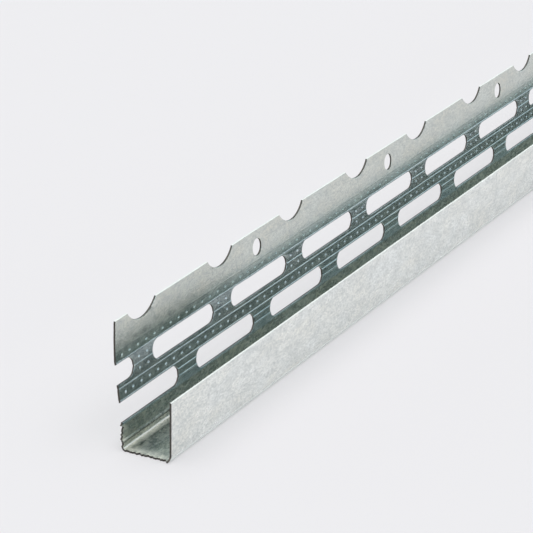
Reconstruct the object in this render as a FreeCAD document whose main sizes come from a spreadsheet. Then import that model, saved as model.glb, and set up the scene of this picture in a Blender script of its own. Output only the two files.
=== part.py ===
import FreeCAD, Part
import math
import os
import Sketcher

# Drywall edge bead: one strip of galvanised steel, punched flat and then roll-formed.
# The channel takes the edge of a plasterboard, and the tall wing behind it is nailed
# to the wall and filled over. Slots key the filler, and notches break the top edge.
#
# Section, from front to back: plain leg, web, back wall, slot band set back, nail band.
# The wing stands a few degrees open of square, so that a board slides into the channel.
# X runs along the bead, Y from the leg to the wing, Z up from the underside of the web.

doc = FreeCAD.newDocument("EdgeBead")

# Driving dimensions in millimetres
sizes = doc.addObject("Spreadsheet::Sheet", "Sizes")
driving_sizes = [
    ("stock_length", "2000", "length of the bead as sold"),
    ("sheet_thickness", "0.5", "galvanised sheet"),
    ("board_gap", "12.5", "clear width of the channel, the thickness of the board"),
    ("leg_height", "15", "plain front leg, from the underside of the web"),
    ("bend_radius", "0.6", "inside radius of the two channel bends"),
    ("wing_lean", "3.5", "degrees by which the wing stands open of square to the web"),
    ("wall_height", "6.25", "back wall, from the underside of the web to the first fold"),
    ("wing_setback", "0.85", "how far the nail band stands behind the back wall"),
    ("slot_length", "29", "keying slot, over its round ends"),
    ("slot_width", "5", "keying slot, across"),
    ("slot_bridge", "8.5", "metal left between two slots of a row"),
    ("row_gap", "4.25", "metal left between the two rows of slots"),
    ("fold_margin", "0.5", "metal left between a fold and the nearest row of slots"),
    ("end_flats", "6", "flats that stand for the half circle at each end of a slot"),
    ("first_slot", "31.4", "from the near end to the middle of the first whole upper slot"),
    ("nail_band_height", "10.5", "band above the second fold, parallel to the back wall"),
    ("nail_hole", "4.5", "diameter of a nail hole"),
    ("nail_edge", "4.5", "from the top edge to the middle of a nail hole"),
    ("slots_per_nail", "2", "upper slots from one nail hole to the next"),
    ("notch_width", "12.8", "round notch in the top edge, across its mouth"),
    ("notch_depth", "3.2", "round notch in the top edge, below that edge"),
]
for row, (alias, number, meaning) in enumerate(driving_sizes, start=1):
    sizes.set(f"A{row}", meaning)
    sizes.set(f"B{row}", number)
    sizes.setAlias(f"B{row}", alias)
doc.recompute()

# Sizes that follow from the driving ones, as expressions
lean = "(Sizes.wing_lean * 1 deg)"
channel_width = "(Sizes.board_gap + 2 * Sizes.sheet_thickness)"
slot_pitch = "(Sizes.slot_length + Sizes.slot_bridge)"
nail_pitch = f"(Sizes.slots_per_nail * {slot_pitch})"
lower_row = "(Sizes.wall_height + Sizes.fold_margin + Sizes.slot_width / 2)"
upper_row = f"({lower_row} + Sizes.slot_width + Sizes.row_gap)"
shoulder_height = f"({upper_row} + Sizes.slot_width / 2 + Sizes.fold_margin)"
overall_height = f"({shoulder_height} + Sizes.nail_band_height)"
top_reach = f"({overall_height} * sin({lean}) + Sizes.wing_setback * cos({lean}))"
nail_height = f"({overall_height} - Sizes.nail_edge)"
notch_radius = "((Sizes.notch_width ^ 2 / 4 + Sizes.notch_depth ^ 2) / (2 * Sizes.notch_depth))"
notch_height = f"({overall_height} - Sizes.notch_depth + {notch_radius})"
notch_place = f"({slot_pitch} / 2)"
punch_start = f"(Sizes.first_slot - {slot_pitch})"
past_start = f"(Sizes.stock_length - {punch_start})"
slot_count = f"floor(({past_start} + Sizes.slot_length / 2) / {slot_pitch}) + 1"
nail_count = f"floor(({past_start} + Sizes.nail_hole / 2) / {nail_pitch})"

# How a sketch counts the points of an edge, and its own axes
START, END, CENTRE = range(1, 4)
V_AXIS, H_AXIS = range(-2, 0)
ORIGIN = (H_AXIS, START)

body = doc.addObject("PartDesign::Body", "EdgeBeadBody")
body.Label = "edge_bead"


def value(expression):
    """The number that an expression gives with the sheet's present sizes."""
    return float(body.evalExpression(expression))


def origin_feature(role):
    """A plane or axis of the body's own origin."""
    return next(f for f in body.Origin.OriginFeatures if f.Role == role)


def new_sketch(name, plane):
    """A sketch of the body on one of its origin planes."""
    sketch = body.newObject("Sketcher::SketchObject", name)
    sketch.AttachmentSupport = (origin_feature(plane), [""])
    sketch.MapMode = "FlatFace"
    return sketch


def constrain(sketch, kind, *references):
    """A geometric constraint between the named pieces of a sketch."""
    sketch.addConstraint(Sketcher.Constraint(kind, *references))


def dimension(sketch, name, kind, references, expression):
    """A dimension of a sketch that follows the sheet. A sketch takes its angles in radians."""
    size = math.radians(value(expression)) if kind == "Angle" else value(expression)
    index = sketch.addConstraint(Sketcher.Constraint(kind, *references, size))
    sketch.renameConstraint(index, name)
    sketch.setExpression(f"Constraints.{name}", expression)


def point(across, up):
    return FreeCAD.Vector(across, up, 0)


def line(sketch, start, end):
    return sketch.addGeometry(Part.LineSegment(point(*start), point(*end)))


def circle_at(centre, radius):
    return Part.Circle(point(*centre), FreeCAD.Vector(0, 0, 1), radius)


def bend(sketch, centre, radius, first_angle, last_angle):
    """An arc, anticlockwise from the first angle to the last."""
    return sketch.addGeometry(Part.ArcOfCircle(circle_at(centre, radius), first_angle, last_angle))


# The formed strip: one section of even thickness, run along the length. It is drawn with
# the wing upright and the channel tilted, about the corner where wall and web would meet.
section = new_sketch("Section", "YZ_Plane")

sheet_t = value("Sizes.sheet_thickness")
inner_r = value("Sizes.bend_radius")
outer_r = inner_r + sheet_t
leg_top = value("Sizes.leg_height")
width = value(channel_width)
fold_low = value("Sizes.wall_height")
fold_high = value(shoulder_height)
top = value(overall_height)
back = value("Sizes.wing_setback")
tilt = math.radians(value("Sizes.wing_lean"))
frontward = math.pi + tilt
downward = 3 * math.pi / 2 + tilt
bend_reach = outer_r * math.tan((math.pi / 2 - tilt) / 2)


def on_channel(along, up):
    """A point of the tilted channel, along the web from the wall's corner and up from its underside."""
    return (
        along * math.cos(tilt) - up * math.sin(tilt),
        along * math.sin(tilt) + up * math.cos(tilt),
    )


leg_centre = on_channel(outer_r - width, outer_r)
wall_centre = (-outer_r, bend_reach)

leg_out = line(section, on_channel(-width, leg_top), on_channel(-width, outer_r))
leg_bend_out = bend(section, leg_centre, outer_r, frontward, downward)
web_under = line(section, on_channel(outer_r - width, 0), on_channel(-bend_reach, 0))
wall_bend_out = bend(section, wall_centre, outer_r, downward, 2 * math.pi)
wall_out = line(section, (0, bend_reach), (0, fold_low))
slot_band_out = line(section, (0, fold_low), (back, fold_high))
nail_band_out = line(section, (back, fold_high), (back, top))
top_edge = line(section, (back, top), (back - sheet_t, top))
nail_band_in = line(section, (back - sheet_t, top), (back - sheet_t, fold_high))
slot_band_in = line(section, (back - sheet_t, fold_high), (-sheet_t, fold_low))
wall_in = line(section, (-sheet_t, fold_low), (-sheet_t, bend_reach))
wall_bend_in = bend(section, wall_centre, inner_r, downward, 2 * math.pi)
web_over = line(section, on_channel(-bend_reach, sheet_t), on_channel(outer_r - width, sheet_t))
leg_bend_in = bend(section, leg_centre, inner_r, frontward, downward)
leg_in = line(section, on_channel(sheet_t - width, outer_r), on_channel(sheet_t - width, leg_top))
leg_edge = line(section, on_channel(sheet_t - width, leg_top), on_channel(-width, leg_top))

for upright in (wall_out, nail_band_out, nail_band_in, wall_in):
    constrain(section, "Vertical", upright)
constrain(section, "Horizontal", top_edge)
constrain(section, "Parallel", web_under, web_over)
constrain(section, "Parallel", leg_out, leg_in)
constrain(section, "Perpendicular", web_under, leg_out)
constrain(section, "Perpendicular", leg_out, leg_edge)
for first, second in (
    (wall_out, slot_band_out),
    (slot_band_out, nail_band_out),
    (nail_band_out, top_edge),
    (top_edge, nail_band_in),
    (nail_band_in, slot_band_in),
    (slot_band_in, wall_in),
    (leg_in, leg_edge),
    (leg_edge, leg_out),
):
    constrain(section, "Coincident", first, END, second, START)
for straight, straight_end, curve, curve_end in (
    (leg_out, END, leg_bend_out, START),
    (web_under, START, leg_bend_out, END),
    (web_under, END, wall_bend_out, START),
    (wall_out, START, wall_bend_out, END),
    (wall_in, END, wall_bend_in, END),
    (web_over, START, wall_bend_in, START),
    (web_over, END, leg_bend_in, END),
    (leg_in, START, leg_bend_in, START),
):
    constrain(section, "Tangent", straight, straight_end, curve, curve_end)
constrain(section, "Coincident", leg_bend_out, CENTRE, leg_bend_in, CENTRE)
constrain(section, "Coincident", wall_bend_out, CENTRE, wall_bend_in, CENTRE)
constrain(section, "Equal", leg_bend_in, wall_bend_in)
constrain(section, "PointOnObject", wall_out, START, V_AXIS)
constrain(section, "PointOnObject", *ORIGIN, web_under)
constrain(section, "Horizontal", wall_in, START, wall_out, END)
constrain(section, "Horizontal", nail_band_in, END, nail_band_out, START)

dimension(section, "wing_lean", "Angle", (web_under,), lean)
dimension(section, "leg_thickness", "Distance", (leg_in, END, leg_out), "Sizes.sheet_thickness")
dimension(section, "wing_thickness", "DistanceX", (top_edge, END, top_edge, START), "Sizes.sheet_thickness")
dimension(section, "bend_radius", "Radius", (leg_bend_in,), "Sizes.bend_radius")
dimension(section, "channel_width", "Distance", (*ORIGIN, leg_out), channel_width)
dimension(section, "leg_height", "Distance", (leg_out, START, web_under), "Sizes.leg_height")
dimension(section, "wall_height", "DistanceY", (*ORIGIN, wall_in, START), "Sizes.wall_height")
dimension(section, "wing_setback", "DistanceX", (wall_in, START, nail_band_in, END), "Sizes.wing_setback")
dimension(section, "shoulder_height", "DistanceY", (*ORIGIN, nail_band_in, END), shoulder_height)
dimension(section, "overall_height", "DistanceY", (*ORIGIN, top_edge, START), overall_height)

strip = body.newObject("PartDesign::Pad", "FormedStrip")
strip.Profile = section
strip.setExpression("Length", "Sizes.stock_length")
doc.recompute()


def punch_sketch(name):
    """A sketch that faces the wing from inside the channel, so that its cut spares the leg.

    Its origin lies below the middle of the upper slot that the near end cuts off.
    """
    sketch = new_sketch(name, "XZ_Plane")
    sketch.setExpression("AttachmentOffset.Base.x", punch_start)
    sketch.setExpression("AttachmentOffset.Base.z", f"{channel_width} / 2")
    return sketch


def punch(name, sketch):
    """Cuts a sketch backwards through the wing."""
    pocket = body.newObject("PartDesign::Pocket", name)
    pocket.Profile = sketch
    pocket.Type = "ThroughAll"
    doc.recompute()
    return pocket


def repeat(name, originals, pitch, count):
    """Repeats cuts along the bead at an even pitch."""
    pattern = body.newObject("PartDesign::LinearPattern", name)
    pattern.Originals = originals
    pattern.Direction = (origin_feature("X_Axis"), [""])
    pattern.Mode = "Spacing"
    pattern.setExpression("Offset", pitch)
    pattern.setExpression("Occurrences", count)
    body.Tip = pattern
    doc.recompute()
    return pattern


def draw_slot(sketch, name, middle, height):
    """A slot lying along the bead, its round ends drawn as even flats on a circle."""
    radius = value("Sizes.slot_width / 2")
    reach = value("(Sizes.slot_length - Sizes.slot_width) / 2")
    flats = round(value("Sizes.end_flats"))
    rims = []
    corners = []
    for side, start_angle in ((reach, -math.pi / 2), (-reach, math.pi / 2)):
        centre = (value(middle) + side, value(height))
        rims.append(sketch.addGeometry(circle_at(centre, radius), True))
        for step in range(flats + 1):
            angle = start_angle + math.pi * step / flats
            corners.append((centre[0] + radius * math.cos(angle), centre[1] + radius * math.sin(angle)))
    sides = [line(sketch, corners[i - 1], corners[i]) for i in range(len(corners))]

    for i, edge in enumerate(sides):
        constrain(sketch, "Coincident", sides[i - 1], END, edge, START)
    half = len(sides) // len(rims)
    for rim, edges in zip(rims, (sides[:half], sides[half:])):
        lip, first_flat, *other_flats = edges
        for edge in edges:
            constrain(sketch, "PointOnObject", edge, END, rim)
        for edge in other_flats:
            constrain(sketch, "Equal", first_flat, edge)
        constrain(sketch, "Vertical", lip, END, rim, CENTRE)
        constrain(sketch, "Vertical", edges[-1], END, rim, CENTRE)
    right_rim, left_rim = rims
    constrain(sketch, "Equal", right_rim, left_rim)
    constrain(sketch, "Horizontal", left_rim, CENTRE, right_rim, CENTRE)

    span = "(Sizes.slot_length - Sizes.slot_width)"
    dimension(sketch, f"{name}_radius", "Radius", (right_rim,), "Sizes.slot_width / 2")
    dimension(sketch, f"{name}_height", "DistanceY", (*ORIGIN, right_rim, CENTRE), height)
    dimension(sketch, f"{name}_span", "DistanceX", (left_rim, CENTRE, right_rim, CENTRE), span)
    dimension(sketch, f"{name}_place", "DistanceX", (*ORIGIN, right_rim, CENTRE), f"{middle} + {span} / 2")


# Two rows of keying slots, the lower row half a pitch behind the upper one
slot_sketch = punch_sketch("SlotOutlines")
draw_slot(slot_sketch, "upper", "0", upper_row)
draw_slot(slot_sketch, "lower", f"{slot_pitch} / 2", lower_row)
slots = punch("Slots", slot_sketch)

# Round notches in the top edge, one above each bridge of the upper row
notch_sketch = punch_sketch("NotchOutline")
notch_circle = notch_sketch.addGeometry(
    circle_at((value(notch_place), value(notch_height)), value(notch_radius))
)
dimension(notch_sketch, "notch_radius", "Radius", (notch_circle,), notch_radius)
dimension(notch_sketch, "notch_place", "DistanceX", (*ORIGIN, notch_circle, CENTRE), notch_place)
dimension(notch_sketch, "notch_height", "DistanceY", (*ORIGIN, notch_circle, CENTRE), notch_height)
notch = punch("Notch", notch_sketch)

slots_and_notches = repeat("SlotsAndNotches", [slots, notch], slot_pitch, slot_count)

# Nail holes near the top edge, above the middle of an upper slot
nail_sketch = punch_sketch("NailHoleOutline")
nail_circle = nail_sketch.addGeometry(
    circle_at((value(nail_pitch), value(nail_height)), value("Sizes.nail_hole / 2"))
)
dimension(nail_sketch, "nail_radius", "Radius", (nail_circle,), "Sizes.nail_hole / 2")
dimension(nail_sketch, "nail_place", "DistanceX", (*ORIGIN, nail_circle, CENTRE), nail_pitch)
dimension(nail_sketch, "nail_height", "DistanceY", (*ORIGIN, nail_circle, CENTRE), nail_height)
nail_hole = punch("NailHole", nail_sketch)

nail_holes = repeat("NailHoles", [nail_hole], nail_pitch, nail_count)

# Turned back by the lean, the bead stands on its web, centred over the origin
towards_back = FreeCAD.Vector(-1, 0, 0)
body.Placement.Rotation = FreeCAD.Rotation(towards_back, value("Sizes.wing_lean"))
body.setExpression("Placement.Rotation.Angle", lean)
body.setExpression("Placement.Base.x", "-Sizes.stock_length / 2")
body.setExpression("Placement.Base.y", f"({channel_width} - {top_reach}) / 2")
doc.recompute()

for item in doc.Objects:
    if "Invalid" in item.State or "Error" in item.State:
        raise RuntimeError(f"{item.Name} did not build: {item.State}")
for sketch in (section, slot_sketch, notch_sketch, nail_sketch):
    if not sketch.FullyConstrained:
        raise RuntimeError(f"{sketch.Name} is not fully constrained")
stages = (strip, slots, notch, slots_and_notches, nail_hole, nail_holes)
for before, after in zip(stages, stages[1:]):
    if not after.Shape.Volume < before.Shape.Volume:
        raise RuntimeError(f"{after.Name} cut nothing")
shape = body.Shape
if shape.isNull() or not shape.isValid() or len(shape.Solids) != 1:
    raise RuntimeError("the bead is not one valid solid")

os.makedirs("parts", exist_ok=True)
shape.exportStep(f"parts/{body.Label}.step")
box = shape.BoundBox
print(f"edge_bead {box.XLength:.2f} x {box.YLength:.2f} x {box.ZLength:.2f} mm, {shape.Volume:.1f} mm3")
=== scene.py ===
import math

import bpy
import numpy as np
from mathutils import Matrix, Vector
from mathutils.geometry import delaunay_2d_cdt


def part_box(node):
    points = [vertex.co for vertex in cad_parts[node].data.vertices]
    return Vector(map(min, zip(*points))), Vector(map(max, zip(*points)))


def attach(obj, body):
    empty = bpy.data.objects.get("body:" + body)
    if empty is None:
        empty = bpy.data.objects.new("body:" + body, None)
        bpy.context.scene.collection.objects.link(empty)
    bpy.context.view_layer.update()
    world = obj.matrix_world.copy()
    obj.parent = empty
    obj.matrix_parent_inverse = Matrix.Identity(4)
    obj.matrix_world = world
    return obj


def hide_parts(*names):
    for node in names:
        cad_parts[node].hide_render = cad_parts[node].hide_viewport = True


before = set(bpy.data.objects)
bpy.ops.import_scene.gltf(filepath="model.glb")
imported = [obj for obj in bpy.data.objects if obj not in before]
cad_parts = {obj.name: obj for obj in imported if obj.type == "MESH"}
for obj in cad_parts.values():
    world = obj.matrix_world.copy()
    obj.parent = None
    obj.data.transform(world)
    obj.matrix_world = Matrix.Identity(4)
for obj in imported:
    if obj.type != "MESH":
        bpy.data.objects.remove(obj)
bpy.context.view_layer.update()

# The blank: a strip of hot-dip galvanised sheet, half a millimetre thick, as wide as the whole
# section laid flat. Two staggered rows of keying slots, round notches in the top edge and nail
# holes are punched through the part of it that becomes the wing. Sizes are in millimetres.
mm = 0.001
sheet = 0.5
bead_low, bead_high = (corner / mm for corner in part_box("edge_bead"))
stock_length = bead_high.x - bead_low.x

leg_height = 15.0
board_gap = 12.5
inner_bend = 0.6
wing_lean = math.radians(3.5)
wall_height = 6.25
slot_band_height = 15.25
wing_setback = 0.85
nail_band_height = 10.5
fold_radius = 2.0

outer_bend = inner_bend + sheet
middle_bend = inner_bend + sheet / 2
square = math.pi / 2
wall_turn = square - wing_lean
wall_tangent = outer_bend * math.tan(wall_turn / 2)
fold_turn = math.atan2(wing_setback, slot_band_height)
fold_width = fold_radius * fold_turn

# Each run of the section along its middle line: its length, and how far it turns to the inside
runs = {
    "leg": (leg_height - outer_bend, 0),
    "leg_bend": (middle_bend * square, square),
    "web": (board_gap + 2 * sheet - outer_bend - wall_tangent, 0),
    "wall_bend": (middle_bend * wall_turn, wall_turn),
    "wall": (wall_height - wall_tangent - fold_width / 2, 0),
    "lower_fold": (fold_width, -fold_turn),
    "slot_band": (math.hypot(wing_setback, slot_band_height) - fold_width, 0),
    "upper_fold": (fold_width, fold_turn),
    "nail_band": (nail_band_height - fold_width / 2, 0),
}
run_ends = dict(zip(runs, np.cumsum([length for length, turn in runs.values()])))
run_starts = {name: run_ends[name] - runs[name][0] for name in runs}
blank_width = run_ends["nail_band"]
shoulder_height = wall_height + slot_band_height
wing_height = shoulder_height + nail_band_height


def across_blank(height):
    """The place across the blank of a height up the finished wing."""
    return np.interp(
        height,
        (0, wall_height, shoulder_height, wing_height),
        (run_ends["lower_fold"] - fold_width / 2 - wall_height,
         run_ends["lower_fold"] - fold_width / 2,
         run_ends["upper_fold"] - fold_width / 2,
         blank_width),
    )


slot_length = 29.0
slot_width = 5.0
slot_reach = (slot_length - slot_width) / 2
slot_pitch = 37.5
first_upper_slot = 31.4
first_lower_slot = first_upper_slot - slot_pitch / 2
lower_row = across_blank(9.25)
upper_row = across_blank(18.5)
notch_width = 12.8
notch_depth = 3.2
notch_radius = (notch_width**2 / 4 + notch_depth**2) / (2 * notch_depth)
notch_row = blank_width - notch_depth + notch_radius
notch_half_angle = math.asin(notch_width / 2 / notch_radius)
nail_radius = 2.25
nail_pitch = 2 * slot_pitch
first_nail = first_upper_slot + slot_pitch
nail_row = across_blank(27.5)


def from_middle(x, first, pitch):
    """How far each x lies from the nearest of a row of places at an even pitch."""
    return (x - first + pitch / 2) % pitch - pitch / 2


def past_cut_out(x, s):
    """How far points of the blank lie outside the nearest slot, notch or nail hole."""
    gaps = []
    for first, row in ((first_lower_slot, lower_row), (first_upper_slot, upper_row)):
        beyond = np.maximum(abs(from_middle(x, first, slot_pitch)) - slot_reach, 0)
        gaps.append(np.hypot(beyond, s - row) - slot_width / 2)
    gaps.append(np.hypot(from_middle(x, first_lower_slot, slot_pitch), s - notch_row) - notch_radius)
    gaps.append(np.hypot(from_middle(x, first_nail, nail_pitch), s - nail_row) - nail_radius)
    return np.minimum.reduce(gaps)


def arc(middle_x, middle_s, radius, first_angle, last_angle, steps):
    """Points of an arc on the blank."""
    angles = np.linspace(first_angle, last_angle, steps + 1)
    return [(middle_x + radius * math.cos(a), middle_s + radius * math.sin(a)) for a in angles]


blank_points = []
blank_edges = []


def draw(points, closed=False):
    """Draws a line on the blank that its triangles have to follow."""
    first = len(blank_points)
    last = first + len(points) - 1
    blank_points.extend(points)
    blank_edges.extend((i, i + 1) for i in range(first, last))
    if closed:
        blank_edges.append((last, first))


# The punch draws the sheet in with it, so each punched edge is rolled over a little on the inside.
# Every outline is drawn at its cut edge, and again where the rolled-over edge begins.
rollover_width = 0.09
rollover_drop = 0.07
half_circle_steps = 14
notch_overrun = 0.05    # radians by which a notch's arc runs out past the top edge
notch_first_angle = -square - notch_half_angle - notch_overrun
notch_last_angle = -square + notch_half_angle + notch_overrun
for step in (0, rollover_width):
    for first, row in ((first_lower_slot, lower_row), (first_upper_slot - slot_pitch, upper_row)):
        for middle in np.arange(first, stock_length + slot_length / 2, slot_pitch):
            radius = slot_width / 2 + step
            right = arc(middle + slot_reach, row, radius, -square, square, half_circle_steps)
            left = arc(middle - slot_reach, row, radius, square, 3 * square, half_circle_steps)
            draw(right + left, closed=True)
    for middle in np.arange(first_lower_slot, stock_length + notch_width, slot_pitch):
        draw(arc(middle, notch_row, notch_radius + step, notch_first_angle, notch_last_angle,
                 half_circle_steps))
    for middle in np.arange(first_nail, stock_length, nail_pitch):
        hole = arc(middle, nail_row, nail_radius + step, 0, 4 * square, 2 * half_circle_steps)
        draw(hole[:-1], closed=True)

# The relief: fine ridges along the wing with rows of raised dots between them, pressed
# through the sheet by patterned rolls. They key the filler and stiffen the thin metal.
ridges = (      # height up the wing, rise, half width
    (2.2, 0.24, 0.42), (8.4, 0.08, 0.24), (10.2, 0.08, 0.24), (12.0, 0.1, 0.24),
    (14.95, 0.1, 0.24), (18.1, 0.1, 0.24), (21.3, 0.1, 0.24), (24.2, 0.008, 0.24))
ridge_crest = 0.38      # share of a ridge's half width that is flat on top
dot_heights = (13.45, 16.7, 19.55, 22.6)
dot_pitch = slot_pitch / 10
dot_radius = 0.48
dot_rise = 0.26
dot_sides = 8
dot_rings = (0.55, 1.0)     # shares of a dot's radius
dot_margin = 0.8
first_dot = first_lower_slot + dot_pitch / 2
ridge_lines = [(across_blank(height), rise, half_width) for height, rise, half_width in ridges]
dot_lines = across_blank(np.array(dot_heights))

dot_places = np.arange(first_dot % dot_pitch, stock_length, dot_pitch)
dot_x, dot_s = (grid.ravel() for grid in np.meshgrid(dot_places, dot_lines))
kept_dots = past_cut_out(dot_x, dot_s) > dot_margin
kept_dots &= (dot_x > dot_margin) & (dot_x < stock_length - dot_margin)
for middle, row in zip(dot_x[kept_dots], dot_s[kept_dots]):
    blank_points.append((middle, row))
    for ring in dot_rings:
        draw(arc(middle, row, dot_radius * ring, 0, 4 * square, dot_sides)[:-1], closed=True)

# Lines along the blank: its two slit edges, the bends and folds, and the flanks of each ridge
bend_steps = 8
fold_steps = 2
beside_bend = 0.15
lines = {0, blank_width}
for name, (length, turn) in runs.items():
    if turn:
        steps = bend_steps if "bend" in name else fold_steps
        lines.update(np.linspace(run_starts[name], run_ends[name], steps + 1))
        lines.update((run_starts[name] - beside_bend, run_ends[name] + beside_bend))
beside_ridge = 0.1
for middle, rise, half_width in ridge_lines:
    for flank in (ridge_crest * half_width, half_width, half_width + beside_ridge):
        lines.update((middle - flank, middle + flank))

# Points along those lines, closer together over the first stretch, whose nail band is curled,
# with more lines up that band, and close points across the blank at its two ends
curled_end = 72.0
curl_step = 3.0
stations = np.union1d(np.arange(0, curled_end, curl_step), np.arange(0, stock_length, slot_pitch))
stations = np.append(stations, stock_length)
for line in sorted(lines):
    draw([(station, line) for station in stations])
first_curl_line = across_blank(25.5)
last_curl_line = blank_width - 1.0
curl_line_step = 1.3
for line in np.arange(first_curl_line, last_curl_line, curl_line_step):
    draw([(station, line) for station in stations if station < curled_end])
cut_step = 0.33
cut_places = np.append(np.arange(0, blank_width, cut_step), blank_width)
for end in (0, stock_length):
    draw([(end, place) for place in cut_places])

# The strip is divided into triangles along all these lines, and what is punched out is dropped
same_point = 1e-5
whole_outline = 0       # the kind of division that fills all the points' outline
points, _, triangles, *_ = delaunay_2d_cdt(
    [Vector(point) for point in blank_points], blank_edges, [], whole_outline, same_point)
blank = np.array([tuple(point) for point in points])
triangles = np.array(triangles)
middle_x, middle_s = blank[triangles].mean(axis=1).T
in_strip = (middle_x > 0) & (middle_x < stock_length) & (middle_s > 0) & (middle_s < blank_width)
triangles = triangles[in_strip & (past_cut_out(middle_x, middle_s) > 0)]
used, triangles = np.unique(triangles, return_inverse=True)
triangles = triangles.reshape(-1, 3)
x, s = blank[used].T

# How far the pressed relief raises each point to the inside, and the rolled-over edges drop it
raised = np.zeros(len(x))
for line, rise, half_width in ridge_lines:
    flank = np.clip((1 - abs(s - line) / half_width) / (1 - ridge_crest), 0, 1)
    raised = np.maximum(raised, rise * flank)
for line in dot_lines:
    off = np.hypot(from_middle(x, first_dot, dot_pitch), s - line) / dot_radius
    away = past_cut_out(x - from_middle(x, first_dot, dot_pitch), np.full(len(x), line))
    height = dot_rise * (1 - np.minimum(off, 1) ** 2) * (away > dot_margin)
    raised = np.maximum(raised, height * (x > dot_margin / 2))
dropped = rollover_drop * np.clip(1 - past_cut_out(x, s) / rollover_width, 0, 1)


# The formed bead: the blank runs through forming rolls that turn up the plain leg, the web and
# the wing, and it is cut to length. The first end has been cut by hand, a little ragged across
# the channel, and the cut has pulled the thin end of the nail band forward.
def formed(places):
    """The section's middle line at places across the blank: y, z and the direction to its inside."""
    y = np.zeros(len(places))
    z = np.zeros(len(places))
    heading = np.zeros(len(places))
    here_y, here_z, here_heading = bead_low.y + sheet / 2, leg_height, -square
    # The chord of an arc is its length times the sine of half its turn over half its turn
    for name, (length, turn) in runs.items():
        on_run = places >= run_starts[name] - same_point
        along = places[on_run] - run_starts[name]
        swing = turn * along / length
        chord = along * np.sinc(swing / 2 / math.pi)
        y[on_run] = here_y + chord * np.cos(here_heading + swing / 2)
        z[on_run] = here_z + chord * np.sin(here_heading + swing / 2)
        heading[on_run] = here_heading + swing
        chord = length * np.sinc(turn / 2 / math.pi)
        here_y += chord * math.cos(here_heading + turn / 2)
        here_z += chord * math.sin(here_heading + turn / 2)
        here_heading += turn
    return y, z, -np.sin(heading), np.cos(heading)


y, z, inside_y, inside_z = formed(s)
curl_reach = 0.62
curl_full = 8.0
curl_none = 63.0
curl_fade = 3
curl_bend = 1.7
curl_foot = across_blank(20.5)
curled = 1 - np.clip((x - curl_full) / (curl_none - curl_full), 0, 1) ** curl_fade
up_band = np.clip((s - curl_foot) / (blank_width - curl_foot), 0, None)
y = y - curl_reach * curled * up_band**curl_bend

# Past the curl, the punched wing has sprung forward a little between its foot and its top edge
bow = 0.3
bow_bounds = [run_starts["lower_fold"], run_ends["upper_fold"], blank_width]
y = y - bow * (1 - curled) * np.interp(s, bow_bounds, (0, 1, 0))

# How far the hand-cut end stands back, and how deep its ragged teeth are: at the top of the leg,
# and at the end of each run after it. A burr is left where the shears met the leg's bend.
leg_top_cut = (0.4, 0.05)
cut_marks = {
    "leg": (0.4, 0.05),
    "leg_bend": (0.1, 0.6),
    "web": (0.1, 0.6),
    "wall_bend": (0.6, 1.3),
    "wall": (0.8, 1.3),
    "lower_fold": (0.9, 0.05),
    "nail_band": (0.9, 0.05),
}
cut_bounds = [0] + [run_ends[name] for name in cut_marks]
cut_backs, tooth_depths = zip(leg_top_cut, *cut_marks.values())
cut_back = np.interp(cut_places, cut_bounds, cut_backs)
tooth_depth = np.interp(cut_places, cut_bounds, tooth_depths)
tooth_seed = 4
teeth = np.random.default_rng(tooth_seed).random(len(cut_places)) - 0.5
burr_place = run_starts["leg_bend"] + 0.6
burr_reach = 0.9
burr_half_width = 0.9
burr = np.clip(1 - abs(cut_places - burr_place) / burr_half_width, 0, 1)
cut_back = cut_back - burr_reach * burr
end_shift = np.interp(s, cut_places, cut_back + tooth_depth * teeth)
cut_fade = 6.0
x = x + end_shift * np.clip(1 - x / cut_fade, 0, 1)

# The sheet's two faces stand half its thickness to each side, and rim faces close all cut edges
inner_off = sheet / 2 + raised - dropped
outer_off = -sheet / 2 + raised
vertices = np.vstack([
    np.column_stack((x + bead_low.x, y + off * inside_y, z + off * inside_z))
    for off in (inner_off, outer_off)
])
count = len(x)
inner_faces = [tuple(corners) for corners in triangles.tolist()]
outer_faces = [(a + count, c + count, b + count) for a, b, c in inner_faces]
face_edges = {edge for a, b, c in inner_faces for edge in ((a, b), (b, c), (c, a))}
rim = sorted((a, b) for a, b in face_edges if (b, a) not in face_edges)
rim_faces = [(b, a, a + count, b + count) for a, b in rim]

sharp_edge = math.radians(25)
mesh = bpy.data.meshes.new("edge_bead_sheet")
mesh.from_pydata((vertices * mm).tolist(), [], inner_faces + outer_faces + rim_faces)
mesh.shade_smooth()
mesh.set_sharp_from_angle(angle=sharp_edge)
bead = bpy.data.objects.new("edge_bead_sheet", mesh)
bpy.context.scene.collection.objects.link(bead)


def srgb(code):
    """A hex colour as linear red, green and blue, with full alpha."""
    parts = [int(code[i:i + 2], 16) / 255 for i in (1, 3, 5)]
    return [v / 12.92 if v <= 0.04045 else ((v + 0.055) / 1.055) ** 2.4 for v in parts] + [1.0]


def add_node(tree, kind, settings, inputs):
    """Adds a node. An input is a plain value, or the output of another node."""
    added = tree.nodes.new(kind)
    for name, setting in settings.items():
        setattr(added, name, setting)
    for name, given in inputs.items():
        if isinstance(given, bpy.types.NodeSocket):
            tree.links.new(given, added.inputs[name])
        else:
            added.inputs[name].default_value = given
    return added


# A Mix node of colours keeps its two colours and its result at these sockets
FIRST_COLOUR, SECOND_COLOUR, MIXED_COLOUR = 6, 7, 2


def new_material(name):
    """A new material with only its shader in its node tree."""
    material = bpy.data.materials.new(name)
    material.use_nodes = True
    return material


def opened(material):
    """A material's node tree and shader, and the places on the object in metres."""
    tree = material.node_tree
    place = add_node(tree, "ShaderNodeTexCoord", {}, {}).outputs["Object"]
    return tree, tree.nodes["Principled BSDF"], place


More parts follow.
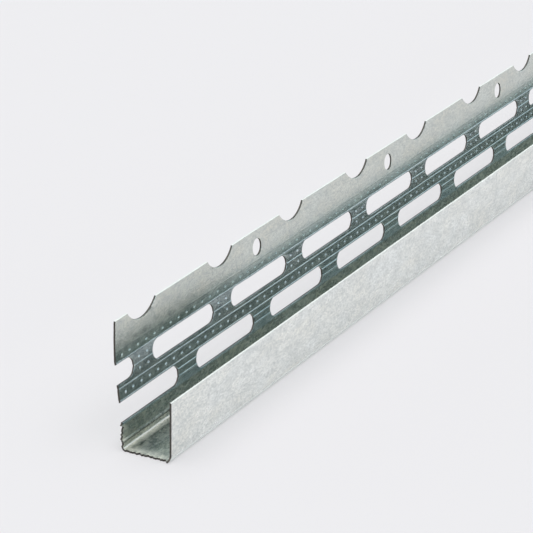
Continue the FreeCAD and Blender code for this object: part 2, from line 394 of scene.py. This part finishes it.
# Hot-dip zinc: frozen in fine spangles that the skin-pass rolls have flattened and drawn out along
# the strip. It gives a satin pale grey with a soft mottle of a millimetre or two, faint warm
# stains, and a grain that is finer on the real sheet and is drawn coarser here so that it shows.
def zinc_finish(name, dark, light, stained, roughness):
    """Zinc between a dark and a light grey, stained in places, with a least and a most roughness."""
    material = new_material(name)
    tree, shader, place = opened(material)
    spangle_size = 1.5 * mm
    grain_size = 0.45 * mm
    stain_size = 7.0 * mm
    drawn_out = 2.2
    uneven_depth = 0.1 * mm
    rolled = add_node(tree, "ShaderNodeMapping", {},
                      {"Vector": place, "Scale": (1 / drawn_out, 1, 1)}).outputs["Vector"]
    spangle = add_node(tree, "ShaderNodeTexNoise", {},
                       {"Vector": rolled, "Scale": 1 / spangle_size, "Detail": 4.0, "Roughness": 0.65})
    grain = add_node(tree, "ShaderNodeTexNoise", {},
                     {"Vector": rolled, "Scale": 1 / grain_size, "Detail": 2.0, "Roughness": 0.6})
    stain = add_node(tree, "ShaderNodeTexNoise", {},
                     {"Vector": rolled, "Scale": 1 / stain_size, "Detail": 3.0, "Roughness": 0.6})
    mottle = add_node(tree, "ShaderNodeMix", {"data_type": "FLOAT"},
                      {"Factor": 0.55, "A": spangle.outputs["Fac"], "B": grain.outputs["Fac"]})
    shade = add_node(tree, "ShaderNodeMapRange", {},
                     {"Value": mottle.outputs["Result"], "From Min": 0.38, "From Max": 0.62})
    tint = add_node(tree, "ShaderNodeMapRange", {},
                    {"Value": stain.outputs["Fac"], "From Min": 0.35, "From Max": 0.65})
    bright = add_node(tree, "ShaderNodeMix", {"data_type": "RGBA"},
                      {"Factor": tint.outputs["Result"], FIRST_COLOUR: srgb(light),
                       SECOND_COLOUR: srgb(stained)})
    colour = add_node(tree, "ShaderNodeMix", {"data_type": "RGBA"},
                      {"Factor": shade.outputs["Result"], FIRST_COLOUR: srgb(dark),
                       SECOND_COLOUR: bright.outputs[MIXED_COLOUR]})
    gloss = add_node(tree, "ShaderNodeMapRange", {},
                     {"Value": spangle.outputs["Fac"], "From Min": 0.3, "From Max": 0.7,
                      "To Min": roughness[0], "To Max": roughness[1]})
    uneven = add_node(tree, "ShaderNodeBump", {},
                      {"Height": mottle.outputs["Result"], "Strength": 0.06, "Distance": uneven_depth})
    tree.links.new(colour.outputs[MIXED_COLOUR], shader.inputs["Base Color"])
    tree.links.new(gloss.outputs["Result"], shader.inputs["Roughness"])
    tree.links.new(uneven.outputs["Normal"], shader.inputs["Normal"])
    shader.inputs["Metallic"].default_value = 1.0
    return material


# The leg and the bead's outside, but for one bend, keep the zinc as it froze. It is the palest.
zinc = zinc_finish("hot_dip_zinc", dark="#D0D5D3", light="#F5F9F7", stained="#F5F6EF",
                   roughness=(0.19, 0.28))

# Pressed zinc: the slot band, between the patterned rolls that raise the ridges and dots. It is
# smoother than zinc as it froze and mirrors more of what stands before it; it is painted darker and
# bluer as the slot band's shade and reflection.
pressed = zinc_finish("pressed_zinc_painted_shade", dark="#ADBAC0", light="#D8E3E8", stained="#D9E0E0",
                      roughness=(0.17, 0.26))

# Nail band zinc: a little smoother and more even than zinc as it froze, and painted a little darker
# as shade. Down towards the pressed dots it is painted darker and blue-grey as shade.
nail_band_zinc = zinc_finish("nail_band_zinc_painted_shade", dark="#BDC3C0", light="#DBE0DB", stained="#DDDDD3",
                        roughness=(0.17, 0.26))
shade_up_to = 21.5 * mm
unshaded_from = 26.5 * mm
tree, shader, place = opened(nail_band_zinc)
up = add_node(tree, "ShaderNodeSeparateXYZ", {}, {"Vector": place})
# Painted shade: the nail band's colour is darkened and blued from its lower part down to the dots
shade_towards_dots = add_node(tree, "ShaderNodeMapRange", {"interpolation_type": "SMOOTHSTEP"},
                        {"Value": up.outputs["Z"], "From Min": shade_up_to, "From Max": unshaded_from,
                         "To Min": 1.0, "To Max": 0.0})
plain_colour = shader.inputs["Base Color"].links[0].from_socket
colour = add_node(tree, "ShaderNodeMix", {"data_type": "RGBA", "blend_type": "MULTIPLY"},
                  {"Factor": shade_towards_dots.outputs["Result"], FIRST_COLOUR: plain_colour,
                   SECOND_COLOUR: srgb("#D0E1E5")})
tree.links.new(colour.outputs[MIXED_COLOUR], shader.inputs["Base Color"])

# Channel zinc: the channel's web and wall, painted darker and olive as the channel's shade. Beside
# the tight rear bend, more across the web than up the wall, it is painted paler as a soft highlight,
# and along the hand-cut end it is painted paler as light; in both places it is also rougher and dull.
channel_shaded_zinc = zinc_finish("channel_zinc_painted_shade", dark="#919996", light="#D7D9D3", stained="#D6D6C8",
                    roughness=(0.22, 0.34))
crease_share = 0.15     # how far round the rear bend the painted highlight is centred
up_wall = 3.0           # how many times over a height counts, beside a depth
bend_highlight_from = 0.15 * mm
bend_highlight_to = 1.8 * mm
cut_end_light_from = (bead_low.x + 0.4) * mm
cut_end_light_to = (bead_low.x + 4.5) * mm
cut_end_light_most = 0.72
dull_roughness = 0.8
highlight_patch_size = 0.6 * mm
crease_place = run_starts["wall_bend"] + crease_share * runs["wall_bend"][0]
crease_y, crease_z, crease_in_y, crease_in_z = (part[0] for part in formed(np.array([crease_place])))
crease = (0, (crease_y + sheet / 2 * crease_in_y) * mm,
          (crease_z + sheet / 2 * crease_in_z) * mm * up_wall)
tree, shader, place = opened(channel_shaded_zinc)
across = add_node(tree, "ShaderNodeVectorMath", {"operation": "MULTIPLY"},
                  {0: place, 1: (0, 1, up_wall)})
off_crease = add_node(tree, "ShaderNodeVectorMath", {"operation": "DISTANCE"},
                      {0: across.outputs["Vector"], 1: crease})
# Painted highlight: paler towards the rear bend, fading out over a millimetre or two
bend_highlight = add_node(tree, "ShaderNodeMapRange", {},
                  {"Value": off_crease.outputs["Value"], "From Min": bend_highlight_from,
                   "From Max": bend_highlight_to, "To Min": 1.0, "To Max": 0.0})
along = add_node(tree, "ShaderNodeSeparateXYZ", {}, {"Vector": place})
# Painted light: paler towards the open hand-cut end of the channel
cut_end_light = add_node(tree, "ShaderNodeMapRange", {"interpolation_type": "SMOOTHSTEP"},
                  {"Value": along.outputs["X"], "From Min": cut_end_light_from, "From Max": cut_end_light_to,
                   "To Min": cut_end_light_most, "To Max": 0.0})
painted_light = add_node(tree, "ShaderNodeMath", {"operation": "MAXIMUM"},
                {0: bend_highlight.outputs["Result"], 1: cut_end_light.outputs["Result"]})
highlight_patches = add_node(tree, "ShaderNodeTexNoise", {},
                   {"Vector": place, "Scale": 1 / highlight_patch_size, "Detail": 3.0, "Roughness": 0.6})
patchy = add_node(tree, "ShaderNodeMapRange", {},
                  {"Value": highlight_patches.outputs["Fac"], "From Min": 0.35, "From Max": 0.65,
                   "To Min": 0.35, "To Max": 1.0})
painted_light_patches = add_node(tree, "ShaderNodeMath", {"operation": "MULTIPLY"},
                {0: painted_light.outputs["Value"], 1: patchy.outputs["Result"]}).outputs["Value"]
plain_colour = shader.inputs["Base Color"].links[0].from_socket
plain_gloss = shader.inputs["Roughness"].links[0].from_socket
# Where the painted highlight and painted light fall, the colour goes towards a pale grey and the zinc
# is made rougher
colour = add_node(tree, "ShaderNodeMix", {"data_type": "RGBA"},
                  {"Factor": painted_light_patches, FIRST_COLOUR: plain_colour, SECOND_COLOUR: srgb("#ECECE2")})
dull = add_node(tree, "ShaderNodeMix", {"data_type": "FLOAT"},
                {"Factor": painted_light_patches, "A": plain_gloss, "B": dull_roughness})
tree.links.new(colour.outputs[MIXED_COLOUR], shader.inputs["Base Color"])
tree.links.new(dull.outputs["Result"], shader.inputs["Roughness"])


def dull_metal(name, grain_size, dark, light, roughness):
    """A bare metal that is evenly rough, and uneven in colour at the size of its grain."""
    material = new_material(name)
    tree, shader, place = opened(material)
    grain = add_node(tree, "ShaderNodeTexNoise", {},
                     {"Vector": place, "Scale": 1 / grain_size, "Detail": 2.0, "Roughness": 0.5})
    colour = add_node(tree, "ShaderNodeMix", {"data_type": "RGBA"},
                      {"Factor": grain.outputs["Fac"], FIRST_COLOUR: srgb(dark),
                       SECOND_COLOUR: srgb(light)})
    tree.links.new(colour.outputs[MIXED_COLOUR], shader.inputs["Base Color"])
    shader.inputs["Metallic"].default_value = 1.0
    shader.inputs["Roughness"].default_value = roughness
    return material


# Sheared steel: the bare edges that punch and shears leave, rougher and darker than the zinc.
# It gives a thin dark line round the cut ends, the slots, the notches and the holes. Along the foot
# of the lowest ridge, on its lower flank and just below it, it is painted shade.
sheared = dull_metal("sheared_steel", grain_size=0.3 * mm, dark="#3B3A38", light="#6C6762",
                     roughness=0.55)

# Wiped zinc: drawn over the strip's two edges by the slitting knives, and rubbed by the forming
# rolls in the core of the rear bend and on the outside of the leg's bend. It is dull and uneven,
# so it catches light from all round and shows as a pale line.
wiped = dull_metal("wiped_zinc", grain_size=0.8 * mm, dark="#E2E5E3", light="#F4F6F4",
                   roughness=0.8)

# Each face gets its finish by its place across the blank, from the leg's edge to the wing's top
bead_finishes = (zinc, nail_band_zinc, pressed, channel_shaded_zinc, sheared, wiped)
ZINC, NAIL_BAND_SHADED, PRESSED_SHADED, CHANNEL_SHADED, SHEARED, WIPED = range(len(bead_finishes))
for finish in bead_finishes:
    mesh.materials.append(finish)
face_s = s[triangles].mean(axis=1)
core_shares = np.array((0.25, 0.6))     # how far round the rear bend its core begins and ends
bend_core = run_starts["wall_bend"] + core_shares * runs["wall_bend"][0]
# Inner faces: zinc on the leg; the channel's finish, painted darker as shade, with the wiped core of
# the rear bend; then the slot band's and nail band's finishes, painted darker as shade.
inner_bounds = [run_ends["leg_bend"], *bend_core, run_ends["wall"], run_ends["upper_fold"]]
inner_bands = np.array((ZINC, CHANNEL_SHADED, WIPED, CHANNEL_SHADED, PRESSED_SHADED, NAIL_BAND_SHADED))
inner_finish = inner_bands[np.searchsorted(inner_bounds, face_s)]
# Painted shade: the lower flank of the lowest ridge and a strip below it take the dark sheared finish
lowest_ridge, _, lowest_half_width = ridge_lines[0]
below_ridge = lowest_ridge - face_s
ridge_foot_shade = below_ridge > ridge_crest * lowest_half_width
ridge_foot_shade &= below_ridge < lowest_half_width + beside_ridge
inner_finish[ridge_foot_shade] = SHEARED
outer_bounds = [run_starts["leg_bend"], run_ends["leg_bend"]]
outer_bands = np.array((ZINC, WIPED, ZINC))
outer_finish = outer_bands[np.searchsorted(outer_bounds, face_s)]
slit = (s < same_point) | (s > blank_width - same_point)
rim_finish = [WIPED if slit[a] and slit[b] else SHEARED for a, b in rim]
mesh.polygons.foreach_set("material_index", inner_finish.tolist() + outer_finish.tolist() + rim_finish)

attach(bead, "root")
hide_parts("edge_bead")

# The floor: a wide sheet of pale matt paper that the bead lies on. It is lit a little from
# below, as on a light table, so that the shadow beside the bead stays soft and pale.
floor_half = 6.0
floor_mesh = bpy.data.meshes.new("floor")
floor_mesh.from_pydata([(-floor_half, -floor_half, 0), (floor_half, -floor_half, 0),
                        (floor_half, floor_half, 0), (-floor_half, floor_half, 0)],
                       [], [(0, 1, 2, 3)])
floor = bpy.data.objects.new("floor", floor_mesh)
bpy.context.scene.collection.objects.link(floor)
paper = new_material("matt_paper")
shader = paper.node_tree.nodes["Principled BSDF"]
shader.inputs["Base Color"].default_value = srgb("#B1AEB1")
shader.inputs["Emission Color"].default_value = srgb("#FFFFFF")
shader.inputs["Emission Strength"].default_value = 0.3
shader.inputs["Roughness"].default_value = 0.9
shader.inputs["Specular IOR Level"].default_value = 0.0
floor_mesh.materials.append(paper)

# The light: a tent that is white overhead, grey where it meets the floor and a cool pale grey
# above that, with a dark gap all round about 30 degrees up. The front half and the back half
# differ below the gap. What the zinc mirrors of these bands gives each surface its tone.
gap_and_top = ((0.57, "#2A3839"), (0.63, "#A8B0B0"), (0.72, "#B4BABA"), (0.78, "#FFFFFF"))
front_bands = (     # how high a direction points, from 0 for level to 1 for straight up, and its colour
    (0.1, "#ABACAC"), (0.24, "#9DB1B5"), (0.3, "#9DB1B5"), (0.38, "#C8CCCC"), (0.45, "#3A4C4F"),
    *gap_and_top)
back_bands = (
    (0.1, "#ABACAC"), (0.24, "#98B0B5"), (0.3, "#98B0B5"), (0.36, "#8F978D"), (0.42, "#8F978D"),
    (0.48, "#3A4C4F"), *gap_and_top)
half_seam = 0.15
tent_strength = 2.12
world = bpy.data.worlds.new("light_tent")
bpy.context.scene.world = world
world.use_nodes = True
tree = world.node_tree
sky = tree.nodes["Background"]
direction = add_node(tree, "ShaderNodeTexCoord", {}, {}).outputs["Generated"]
parts = add_node(tree, "ShaderNodeSeparateXYZ", {}, {"Vector": direction})
halves = []
for bands in (front_bands, back_bands):
    half = add_node(tree, "ShaderNodeValToRGB", {}, {"Fac": parts.outputs["Z"]})
    stops = half.color_ramp.elements
    while len(stops) < len(bands):
        stops.new(1.0)
    for stop, (position, code) in zip(stops, bands):
        stop.position = position
        stop.color = srgb(code)
    halves.append(half.outputs["Color"])
to_back = add_node(tree, "ShaderNodeMapRange", {"interpolation_type": "SMOOTHSTEP"},
                   {"Value": parts.outputs["Y"], "From Min": -half_seam, "From Max": half_seam})
tent = add_node(tree, "ShaderNodeMix", {"data_type": "RGBA"},
                {"Factor": to_back.outputs["Result"], FIRST_COLOUR: halves[0],
                 SECOND_COLOUR: halves[1]})
tree.links.new(tent.outputs[MIXED_COLOUR], sky.inputs["Color"])
sky.inputs["Strength"].default_value = tent_strength
bpy.context.scene.view_settings.view_transform = "Standard"

# The camera looks along the bead from its hand-cut end, from the front and above, through a long
# lens. It aims at a place on the wing some 74 mm from that end.
aim = Vector((bead_low.x + 74.46, 7.5, 20.16))
azimuth = math.radians(61.79)
elevation = math.radians(21.71)
roll = math.radians(-0.87)
distance = 645.24
facing = (Matrix.Rotation(-azimuth, 4, "Z") @ Matrix.Rotation(square - elevation, 4, "X")
          @ Matrix.Rotation(-roll, 4, "Z"))
lens = bpy.data.cameras.new("camera")
lens.lens = 171.42
lens.sensor_width = 36.0
lens.clip_start = 0.01
camera = bpy.data.objects.new("camera", lens)
stand_off = facing.to_3x3() @ Vector((0, 0, distance))
camera.matrix_world = Matrix.Translation((aim + stand_off) * mm) @ facing
bpy.context.scene.collection.objects.link(camera)
bpy.context.scene.camera = camera
